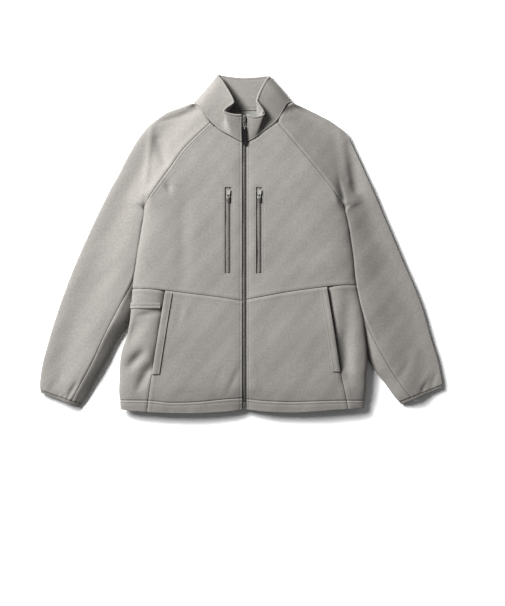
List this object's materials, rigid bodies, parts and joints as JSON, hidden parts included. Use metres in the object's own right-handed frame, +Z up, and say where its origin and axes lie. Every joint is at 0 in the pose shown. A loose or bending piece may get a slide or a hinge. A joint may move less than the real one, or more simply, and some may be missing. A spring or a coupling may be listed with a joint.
{
  "type": "fleece zip jacket",
  "caption": "Fleece jacket with a full front zip, standing collar, raglan sleeves, zipped chest pockets and welted hand pockets, laid flat with its front up.",
  "frame": {"origin": "middle of the laid jacket's box, on the surface that it lies on", "axes": "+X across the jacket towards the viewer's right, +Y from hem to collar, +Z up from the surface"},
  "size_m": [0.927, 0.7814, 0.0527],
  "materials": {
    "fleece": "smooth napped fleece, matt, warm light grey",
    "binding": "stretch binding with fine cross ribs",
    "pale_tape": "woven tape",
    "zip_tape": "woven zip tape",
    "zip_coil": "moulded coil",
    "zip_metal": "satin grey metal",
    "pull_black": "black moulded rubber",
    "pull_pale": "pale moulded pull"
  },
  "bodies": {
    "jacket": {"front_upper_left": "fleece", "front_upper_right": "fleece", "front_lower_left": "fleece", "front_lower_right": "fleece", "side_panel_left": "fleece", "side_panel_right": "fleece", "back_panel": "fleece", "sleeve_left": "fleece", "sleeve_right": "fleece", "under_sleeve_left": "fleece", "under_sleeve_right": "fleece", "collar": "fleece", "pocket_welt_left": "fleece", "pocket_welt_right": "fleece", "side_band_left": "fleece", "cuff_binding_left": "binding", "cuff_binding_right": "binding", "neck_tape": "pale_tape", "main_zip_tape_left": "zip_tape", "main_zip_tape_right": "zip_tape", "chest_zip_tape_left": "zip_tape", "chest_zip_tape_right": "zip_tape", "main_zip_chain": "zip_coil", "chest_zip_chain_left": "zip_coil", "chest_zip_chain_right": "zip_coil", "main_zip_stop": "zip_metal", "main_zip_slider": "zip_metal", "chest_zip_left_slider": "zip_metal", "chest_zip_right_slider": "zip_metal"},
    "main_pull": {"main_zip_pull": "pull_black"},
    "chest_pull_left": {"chest_zip_left_pull": "pull_pale"},
    "chest_pull_right": {"chest_zip_right_pull": "pull_pale"}
  },
  "joints": [
    {"name": "main_pull_hinge", "type": "hinge", "parent": "jacket", "child": "main_pull", "pos_m": [0.00848, 0.28287, 0.0482], "axis": [-1, 0, 0], "range_deg": [0, 150]},
    {"name": "chest_pull_left_hinge", "type": "hinge", "parent": "jacket", "child": "chest_pull_left", "pos_m": [-0.02902, 0.10449, 0.04185], "axis": [1, 0, 0], "range_deg": [0, 150]},
    {"name": "chest_pull_right_hinge", "type": "hinge", "parent": "jacket", "child": "chest_pull_right", "pos_m": [0.04248, 0.10449, 0.04184], "axis": [1, 0, 0], "range_deg": [0, 150]}
  ]
}
